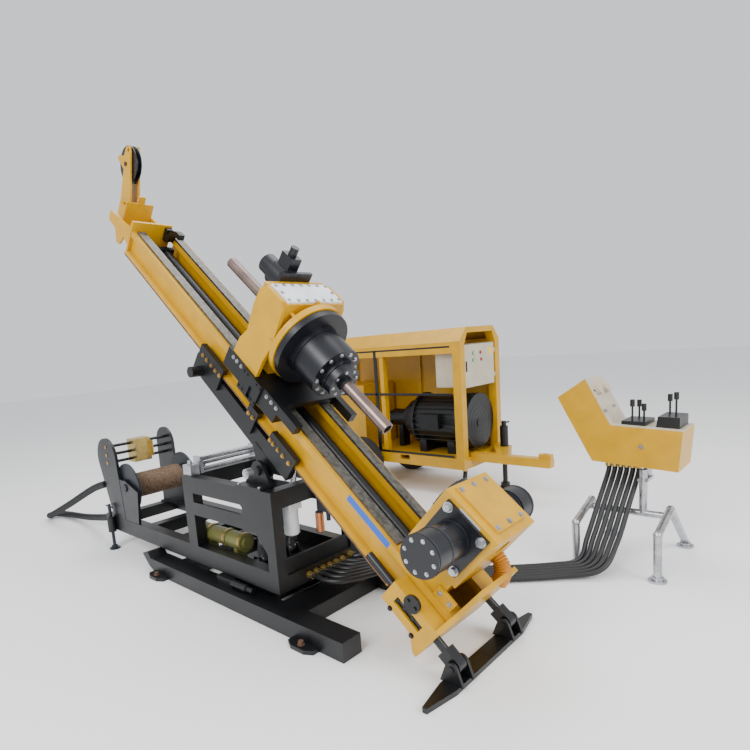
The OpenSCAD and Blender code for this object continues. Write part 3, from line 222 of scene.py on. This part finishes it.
def dress(skin, *nodes):
    """Gives CAD nodes their finish."""
    for node in nodes:
        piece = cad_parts[node]
        piece.data.materials.clear()
        piece.data.materials.append(skin)


# Finishes of the pieces whose solids come from the CAD: black frame and drill, yellow mast, head
# and cages, oiled steel winch, and bare steel where parts slide.
dress(black_paint, "skid_base", "main_frame", "pivot_stand", "cradle", "winch_motor",
      "feed_cylinder", "hose_guide", "foot_blade", "carriage", "power_motor", "tow_jack", "axle",
      "console_levers", "power_pump", "slew_drive")
dress(blue_black, "winch_frame", "clamp_cylinders", "crown_sheave", "head_motor", "chuck",
      "foot_jacks")
dress(yellow_paint, "mast_beam", "top_bracket", "crown_arm", "foot_housing", "clamp_box",
      "head_housing",
      "power_frame", "power_roof", "power_tank", "tow_bar", "console_case")
dress(dark_steel, "slew_ring", "valve_block", "winch_drum", "rear_jacks", "slide_barrel")
dress(tube_steel, "cross_pipes", "lift_barrels", "console_stand")
dress(rail_steel, "mast_rails")
dress(rod_steel, "drill_rod")
dress(chrome, "lift_rods", "slide_rod")
dress(zinc, "rope_guide")
dress(beige_paint, "lamp_cabinet", "cabinet_door", "console_panel")
dress(white_paint, "head_cover", "oil_filter")
dress(olive_paint, "oil_cooler")
dress(tyre_rubber, "wheel_near", "wheel_far")

# Hydraulic hoses: one from the power unit and six from the console to the rig's front cross beam, and
# one wide ribbed hose that lies in a loop behind the winch. The power and console hoses have a crimped
# collar at each end.
ground = Matrix.Identity(4)


def smooth_route(points, steps):
    """A smooth line through a hose's route points, in metres, as its CAD solid follows it."""
    points = [Vector(p) / 1000 for p in points]
    last = len(points) - 1
    line = []
    for i in range(last):
        a, b, c, d = points[max(i - 1, 0)], points[i], points[i + 1], points[min(i + 2, last)]
        for k in range(steps):
            t = k / steps
            line.append(0.5 * (2 * b + (c - a) * t + (2 * a - 5 * b + 4 * c - d) * t ** 2
                               + (3 * b - a - 3 * c + d) * t ** 3))
    line.append(points[last])
    return line


def make(name, bm, skin, body, smooth=True):
    """Turns a finished bmesh into a piece that moves with a CAD body."""
    bmesh.ops.recalc_face_normals(bm, faces=bm.faces)
    mesh = bpy.data.meshes.new(name)
    bm.to_mesh(mesh)
    bm.free()
    mesh.materials.append(skin)
    if smooth:
        mesh.polygons.foreach_set("use_smooth", [True] * len(mesh.polygons))
        mesh.set_sharp_from_angle(angle=math.radians(32))
    piece = bpy.data.objects.new(name, mesh)
    bpy.context.scene.collection.objects.link(piece)
    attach(piece, body)
    return piece


def sweep(bm, line, radii, sides=10):
    """A closed round tube along a line of points, one radius at each point."""
    line = [Vector(p) for p in line]
    side = None
    rings = []
    for i, at in enumerate(line):
        way = (line[min(i + 1, len(line) - 1)] - line[max(i - 1, 0)]).normalized()
        if side is None:
            side = way.cross(Vector((0.13, 0.21, 0.97))).normalized()
        side = (side - way * side.dot(way)).normalized()
        up = way.cross(side)
        rings.append([bm.verts.new(at + radii[i] * (math.cos(a) * side + math.sin(a) * up))
                      for a in (2 * math.pi * k / sides for k in range(sides))])
    for a, b in zip(rings, rings[1:]):
        for k in range(sides):
            bm.faces.new((a[k], a[(k + 1) % sides], b[(k + 1) % sides], b[k]))
    bm.faces.new(rings[0][::-1])
    bm.faces.new(rings[-1])


def box(bm, lo, hi, place=ground, trim=0.0):
    """A block between two corners, with chamfered edges where trim is set."""
    made = bmesh.ops.create_cube(bm, size=1.0)["verts"]
    size = [b - a for a, b in zip(lo, hi)]
    middle = [(a + b) / 2 for a, b in zip(lo, hi)]
    for v in made:
        v.co = Vector([c * s + m for c, s, m in zip(v.co, size, middle)])
    if trim:
        edges = list({e for v in made for e in v.link_edges})
        cut = bmesh.ops.bevel(bm, geom=edges, offset=trim, segments=1, affect="EDGES")
        made = list({v for f in cut["faces"] for v in f.verts})
    bmesh.ops.transform(bm, matrix=place, verts=made)


def rod(bm, a, b, r, place=ground, sides=20, end=None):
    """A round bar, or a cone with another end radius, from a to b."""
    a, b = Vector(a), Vector(b)
    made = bmesh.ops.create_cone(bm, cap_ends=True, segments=sides, radius1=r,
                                 radius2=r if end is None else end,
                                 depth=(b - a).length)["verts"]
    turn = (b - a).to_track_quat("Z", "Y").to_matrix().to_4x4()
    bmesh.ops.transform(bm, matrix=place @ Matrix.Translation((a + b) / 2) @ turn, verts=made)


def bolt(bm, at, way, r, place=ground, tall=0.65):
    """A hexagon head on a washer; way is the unit direction out of the face."""
    at, way = Vector(at), Vector(way)
    rod(bm, at, at + way * r * 0.18, r * 1.35, place, 14)
    rod(bm, at + way * r * 0.16, at + way * r * (0.16 + tall), r, place, 6)


def ring(bm, middle, way, big, small, place=ground, sides=32, section=8):
    """A round ring of round section about an axis."""
    middle, way = Vector(middle), Vector(way).normalized()
    side = way.orthogonal().normalized()
    up = way.cross(side)
    loops = []
    for i in range(sides):
        a = 2 * math.pi * i / sides
        out = math.cos(a) * side + math.sin(a) * up
        loops.append([bm.verts.new(place @ (middle + out * (big + small * math.cos(b))
                                            + way * small * math.sin(b)))
                      for b in (2 * math.pi * k / section for k in range(section))])
    for i in range(sides):
        a, b = loops[i], loops[(i + 1) % sides]
        for k in range(section):
            bm.faces.new((a[k], b[k], b[(k + 1) % section], a[(k + 1) % section]))


def hose(name, points, steps, radius, node, ribs=0.0):
    """A free hose, swept along its route and standing for its CAD solid."""
    line = smooth_route(points, steps)
    radii = [radius] * len(line)
    path = line
    if ribs:
        fine = []
        for a, b in zip(line, line[1:]):
            n = max(2, round((b - a).length / ribs))
            fine += [a.lerp(b, k / n) for k in range(n)]
        path = fine + [line[-1]]
        radii = [radius - (0.003 if i % 2 else 0) for i in range(len(path))]
        radii[0] = radii[-1] = radius
    bm = bmesh.new()
    sweep(bm, path, radii, 14)
    piece = make(name, bm, rubber, "base")
    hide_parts(node)
    return line


power_line = hose("power_hose", [
    (-60, 2500, 289.5), (-60, 2500, 260), (-60, 2500, 220), (-20, 2400, 110), (200, 2000, 40),
    (420, 1500, 32), (560, 900, 32), (590, 620, 90), (570, 440, 190), (490, 310, 222),
    (440, 258, 215), (410, 258, 215), (380.5, 258, 215)], 10, 0.022, "power_hoses")
console_mid = [
    (1630, 1694, 675.5), (1630, 1694, 640), (1630, 1694, 590), (1615, 1560, 420),
    (1592, 1400, 200), (1560, 1270, 64), (1400, 1150, 27), (1080, 880, 25), (800, 650, 62),
    (745, 460, 175), (695, 330, 205), (565, 70, 212), (440, 30, 212), (410, 30, 212),
    (380.5, 30, 212)]
console_step = [
    (37, 0), (37, 0), (37, 0), (37, 0), (37, 0), (34, -18), (26, -28), (26, -28), (30, -22),
    (38, 0), (38, 0), (22, -60), (0, -60), (0, -60), (0, -60)]
console_lines = []
for i in range(6):
    route = [(m[0] + (i - 2.5) * s[0], m[1] + (i - 2.5) * s[1], m[2])
             for m, s in zip(console_mid, console_step)]
    console_lines.append(hose("console_hose_%d" % i, route, 10, 0.016, "console_hoses"))
hose("rear_loop", [
    (-1930, -348, 560), (-2250, -350, 470), (-2800, -390, 250), (-3250, -420, 80),
    (-3390, -400, 44), (-3400, -320, 40), (-3250, -260, 40), (-2800, -240, 80),
    (-2300, -280, 170), (-2060, -320, 225), (-2020, -320, 225), (-1980.5, -320, 225)],
                 10, 0.032, "rear_hose", ribs=0.007)
bm = bmesh.new()
for line, r in [(power_line, 0.022)] + [(route, 0.016) for route in console_lines]:
    for a, b in ((line[0], line[1]), (line[-1], line[-2])):
        way = (b - a).normalized()
        rod(bm, a, a + way * 0.045, r + 0.004, sides=18)
        rod(bm, a + way * 0.004, a + way * 0.018, r + 0.008, sides=6)
make("hose_collars", bm, zinc, "base")

# Sheet panels in the power unit's far side, painted with the frame. From here on the drill's details
# are placed in the mast's own frame in millimetres: up the mast, to the operator, out of the rail face.
dress(yellow_paint, "power_mesh")
c, s = math.cos(math.radians(41)), math.sin(math.radians(41))
mast = Matrix(((-c / 1000, 0, s / 1000, 0.18), (0, -0.001, 0, 0),
               (s / 1000, 0, c / 1000, 0.885), (0, 0, 0, 1)))

# Brass hex bolts through the cradle's guides on both sides, which hold the mast channel's lips.
bm = bmesh.new()
for side in (1, -1):
    for u in (-150, -90, -40, 10, 45, 240, 285, 640, 690, 740, 800, 850):
        bolt(bm, (u, side * 246, 215), (0, side, 0), 11, mast)
make("guide_bolts", bm, brass, "cradle")

# Worn steel wear strips on the outer edges of the mast channel's lips, brown from oil.
bm = bmesh.new()
box(bm, (-1020, 226, 206), (2080, 228.5, 216), mast)
box(bm, (-1020, -228.5, 206), (2080, -226, 216), mast)
make("lip_strips", bm, lip_steel, "mast")

# Plain blue label stripe on the mast's upper band, operator's side.
blue = plain("label_blue", (0.012, 0.10, 0.50), 0.35)
bm = bmesh.new()
box(bm, (-900, 200, 347), (-560, 201.5, 386), mast)
make("blue_stripe", bm, blue, "mast")

# Clamp unit: four silver bolts in each spring cylinder's flange, raised bands and a bolted end cap
# on the cylinders, a bare label, and six bolts in the cover block.
bm = bmesh.new()
for side in (1, -1):
    for du in (-105, 105):
        for dw in (-110, 110):
            bolt(bm, (-1105 + du, side * 198, 690 + dw), (0, side, 0), 19, mast, 0.9)
    for k in range(8):
        a = math.pi * (k + 0.5) / 4
        bolt(bm, (-1105 + 78 * math.cos(a), side * 450, 690 + 78 * math.sin(a)), (0, side, 0),
             8, mast, 0.5)
for u in (-975, -1205):
    for v in (110, 0, -110):
        bolt(bm, (u, v, 860), (0, 0, 1), 11, mast)
for u in (-1235, -1300):
    bolt(bm, (u, 194, 420), (0, 1, 0), 10, mast)
make("clamp_bolts", bm, tube_steel, "mast")
bm = bmesh.new()
for side in (1, -1):
    for v, r in ((205, 96), (322, 96), (338, 102), (436, 102)):
        rod(bm, (-1105, side * (v - 5), 690), (-1105, side * (v + 5), 690), r, mast, 40)
make("clamp_bands", bm, dark_steel, "mast")
grey_label = plain("label_grey", (0.42, 0.43, 0.43), 0.4)
bm = bmesh.new()
box(bm, (-1170, 180, 780), (-1040, 181.5, 836), mast)
make("clamp_label", bm, grey_label, "mast")

# Seal plate where the rod enters the clamp: a stepped, bolted steel ring with the rod's hole
# through it.
bm = bmesh.new()
hoops = []
for u, r in ((-936, 62), (-936, 120), (-915, 120), (-915, 92), (-905, 92), (-905, 62)):
    hoops.append([bm.verts.new(mast @ Vector((u, r * math.cos(a), 715 + r * math.sin(a))))
                  for a in (2 * math.pi * k / 48 for k in range(48))])
for a, b in zip(hoops, hoops[1:] + hoops[:1]):
    for k in range(48):
        bm.faces.new((a[k], a[(k + 1) % 48], b[(k + 1) % 48], b[k]))
for k in range(12):
    a = 2 * math.pi * (k + 0.5) / 12
    bolt(bm, (-915, 106 * math.cos(a), 715 + 106 * math.sin(a)), (1, 0, 0), 7, mast)
make("rod_seal", bm, dark_steel, "mast")

# Orange ribbed bellows that leads the flushing water from under the clamp round to the foot.
orange = plain("bellows_orange", (0.50, 0.20, 0.015), 0.5)
bm = bmesh.new()
arc = [Vector((-1268 - 88 * math.sin(t), -90, 612 - 96 * (1 - math.cos(t)))) for t in
       (math.pi / 2 * k / 24 for k in range(25))]
arc = [Vector((-1262, -90, 612))] + arc
sweep(bm, [mast @ p for p in arc], [0.034 if k % 2 else 0.042 for k in range(len(arc))], 20)
make("bellows", bm, orange, "mast")

# Black threaded jack tubes with round nuts, lying along both sides of the foot, which turn the foot
# jacks out.
bm = bmesh.new()
for side in (1, -1):
    rod(bm, (-1310, side * 270, 262), (-1120, side * 270, 262), 17, mast, 24)
    for u in (-1300, -1240, -1180, -1128):
        rod(bm, (u - 9, side * 270, 262), (u + 9, side * 270, 262), 24, mast, 6)
make("jack_tubes", bm, black_paint, "mast")

# Foot: a locking disc with its two bolts on each wall of the foot housing, and the wall's bolts.
bm = bmesh.new()
for side in (1, -1):
    rod(bm, (-1195, side * 300, 345), (-1195, side * 316, 345), 46, mast, 36)
    for du in (-24, 24):
        bolt(bm, (-1195 + du, side * 316, 345), (0, side, 0), 9, mast)
    for u in (-1290, -1130):
        bolt(bm, (u, side * 300, 200), (0, side, 0), 11, mast)
make("foot_locks", bm, black_paint, "mast")

# Head: bolts round the white cover, bolts in two circles on the chuck's faces, and the bolts of the
# carriage's side bars and hangers.
bm = bmesh.new()
for u in (392, 460, 528):
    for v in (-198, 198):
        bolt(bm, (u, v, 957), (0, 0, 1), 9, mast)
for v in (-132, -66, 0, 66, 132):
    for u in (386, 534):
        bolt(bm, (u, v, 957), (0, 0, 1), 9, mast)
make("cover_bolts", bm, tube_steel, "carriage")
bm = bmesh.new()
for k in range(12):
    a = 2 * math.pi * (k + 0.5) / 12
    bolt(bm, (20, 138 * math.cos(a), 715 + 138 * math.sin(a)), (-1, 0, 0), 10, mast)
for k in range(8):
    a = 2 * math.pi * (k + 0.5) / 8
    bolt(bm, (-60, 82 * math.cos(a), 715 + 82 * math.sin(a)), (-1, 0, 0), 8, mast)
make("chuck_bolts", bm, tube_steel, "spindle")
bm = bmesh.new()
for u in (100, 150, 200, 270, 340, 410, 480, 530, 570):
    for side in (1, -1):
        bolt(bm, (u, side * 256, 423), (0, side, 0), 10, mast)
make("carriage_bolts", bm, tube_steel, "carriage")
bm = bmesh.new()
for u in (262, 300, 395, 433):
    for w in (320, 430):
        bolt(bm, (u, 270, w), (0, 1, 0), 8, mast, 0.4)
make("hanger_bolts", bm, black_paint, "carriage")

# Tilt pivots: stepped caps on the ends of the pivot pins, and the bolts in the pivot stands' feet.
bm = bmesh.new()
for side in (1, -1):
    rod(bm, (0.18, side * 0.330, 0.885), (0.18, side * 0.372, 0.885), 0.030, sides=28)
    rod(bm, (0.18, side * 0.370, 0.885), (0.18, side * 0.378, 0.885), 0.020, sides=28)
    for x in (0.065, 0.265):
        bolt(bm, (x, side * 0.345, 0.802), (0, 0, 1), 0.011)
make("pivot_caps", bm, tube_steel, "base")

# Anchor bolts, rusty, through the skid's lugs at its four corners.
bm = bmesh.new()
for x in (0.69, -0.89):
    for y in (0.495, -0.495):
        bolt(bm, (x, y, 0.025), (0, 0, 1), 0.016, tall=1.2)
make("anchor_bolts", bm, rusty, "base")

# Oil cooler: four brass clamping bands round its tube and a brass end cap at its rear.
bm = bmesh.new()
for x in (-0.660, -0.500, -0.300, -0.130):
    rod(bm, (x - 0.008, -0.212, 0.345), (x + 0.008, -0.212, 0.345), 0.0655, sides=40)
rod(bm, (-0.66, -0.212, 0.345), (-0.688, -0.212, 0.345), 0.046, sides=36)
make("cooler_bands", bm, brass, "base")

# Oil filter's dark head cap and neck ring, and the copper sleeve of the valve beside it.
bm = bmesh.new()
rod(bm, (0.320, -0.170, 0.676), (0.320, -0.170, 0.692), 0.044, sides=36)
rod(bm, (0.320, -0.170, 0.640), (0.320, -0.170, 0.650), 0.0495, sides=36)
make("filter_cap", bm, black_paint, "base")
copper = metal("copper", (0.62, 0.24, 0.10), 0.3)
bm = bmesh.new()
rod(bm, (0.346, 0.048, 0.436), (0.346, 0.048, 0.560), 0.0272, sides=32)
make("copper_sleeve", bm, copper, "base")

# Rope on the winch drum: steel wire in turns, brown from grease, between the drum's flanges.
bm = bmesh.new()
turns = [(-1.53 + 0.099 * math.cos(t), -0.28 + 0.00205 * t, 0.575 + 0.099 * math.sin(t))
         for t in (2 * math.pi * k / 20 for k in range(20 * 33))]
sweep(bm, turns, [0.0055] * len(turns), 6)
make("winch_rope", bm, rope_steel, "winch_drum")

# Winch plates: brass nuts on both ends of the three guide bars that hold the plates apart.
bm = bmesh.new()
for z in (0.900, 0.830, 0.762):
    for y, way in ((-0.352, -1), (0.246, 1)):
        rod(bm, (-1.80, y, z), (-1.80, y + way * 0.012, z), 0.017, sides=6)
make("guide_nuts", bm, brass, "base")

# Power unit: black window edge strips, a black centre post and thin rail in the side that faces
# the drill.
bm = bmesh.new()
for lo, hi in (((-1.03, 2.339, 0.42), (-0.99, 2.352, 1.50)),
               ((-1.86, 2.339, 1.02), (-0.08, 2.352, 1.045)),
               ((-1.87, 2.339, 1.485), (-0.08, 2.349, 1.505)),
               ((-1.87, 2.339, 0.405), (-0.08, 2.349, 0.425))):
    box(bm, lo, hi, trim=0.002)
make("window_strips", bm, black_paint, "base")

# Electric motor: cooling fins along the barrel, and the rings and hub of the fan cowl's grille.
bm = bmesh.new()
for k in range(28):
    a = 2 * math.pi * k / 28
    if math.sin(a) > -0.75:
        y, z = 2.72 + 0.262 * math.cos(a), 0.705 + 0.262 * math.sin(a)
        box(bm, (-0.70, y - 0.004, z - 0.004), (-0.14, y + 0.004, z + 0.004))
for r in (0.05, 0.10, 0.15, 0.20):
    ring(bm, (-0.012, 2.72, 0.705), (1, 0, 0), r, 0.004, sides=40, section=6)
rod(bm, (-0.020, 2.72, 0.705), (-0.004, 2.72, 0.705), 0.035, sides=28)
make("motor_fins", bm, black_paint, "base")

# Lamp cabinet's door: green and red lenses in dark rims, a bare yellow label and a black handle.
green = plain("lens_green", (0.02, 0.55, 0.12), 0.2, 0.8)
red = plain("lens_red", (0.60, 0.02, 0.01), 0.25)
warn = plain("label_yellow", (0.85, 0.55, 0.02), 0.4)
for lens_name, skin, spots in (("green_lenses", green, ((2.600, 1.412), (2.595, 1.344))),
                               ("red_lenses", red, ((2.737, 1.413), (2.750, 1.343)))):
    bm = bmesh.new()
    for y, z in spots:
        rod(bm, (0.021, y, z), (0.0295, y, z), 0.012, sides=24)
    make(lens_name, bm, skin, "cabinet_door")
bm = bmesh.new()
for y, z in ((2.600, 1.412), (2.595, 1.344), (2.737, 1.413), (2.750, 1.343)):
    ring(bm, (0.0235, y, z), (1, 0, 0), 0.0145, 0.0035, sides=28, section=6)
box(bm, (0.0215, 2.452, 1.24), (0.0295, 2.468, 1.34), trim=0.002)
make("door_rims", bm, black_paint, "cabinet_door")
bm = bmesh.new()
box(bm, (0.0215, 2.90, 1.39), (0.0232, 2.97, 1.45))
make("door_label", bm, warn, "cabinet_door")

# Road wheels: pressed steel rim with its bead, five nuts and a hub cap, on each wheel's outer face.
for body, y, way in (("wheel_near", 2.148, -1), ("wheel_far", 3.302, 1)):
    bm = bmesh.new()
    rod(bm, (-1.22, y - way * 0.020, 0.28), (-1.22, y - way * 0.004, 0.28), 0.150, sides=48)
    ring(bm, (-1.22, y - way * 0.010, 0.28), (0, 1, 0), 0.150, 0.009, sides=48)
    rod(bm, (-1.22, y - way * 0.006, 0.28), (-1.22, y - way * 0.001, 0.28), 0.036, sides=28)
    make(body + "_rim", bm, tube_steel, body)
    bm = bmesh.new()
    for k in range(5):
        a = 2 * math.pi * k / 5
        x, z = -1.22 + 0.07 * math.cos(a), 0.28 + 0.07 * math.sin(a)
        rod(bm, (x, y - way * 0.005, z), (x, y - way * 0.0005, z), 0.011, sides=6)
    make(body + "_nuts", bm, zinc, body)

# Console: black bezels, white gauge faces and red pointers on its tilted panel, then the plated
# toggles and plug on its near side.
tilt = math.radians(62.5)
normal = Vector((math.cos(tilt), 0, math.sin(tilt)))
bm_rim, bm_face, bm_hand = bmesh.new(), bmesh.new(), bmesh.new()
for y in (1.647, 1.787):
    at = Vector((1.470, y, 1.158))
    ring(bm_rim, at + normal * 0.004, normal, 0.040, 0.005, sides=36)
    rod(bm_face, at, at + normal * 0.004, 0.038, sides=36)
    rod(bm_hand, at + normal * 0.005, at + normal * 0.005 + Vector((0, 0.026, 0)), 0.0015, sides=8)
make("gauge_rims", bm_rim, black_paint, "console")
make("gauge_faces", bm_face, white_paint, "console")
make("gauge_hands", bm_hand, red, "console")
bm = bmesh.new()
for x, z in ((1.49, 1.10), (1.558, 1.028), (1.607, 1.062)):
    rod(bm, (x, 1.5735, z), (x, 1.580, z), 0.012, sides=20)
rod(bm, (1.66, 1.5735, 0.86), (1.66, 1.580, 0.86), 0.018, sides=24)
make("console_toggles", bm, tube_steel, "console")
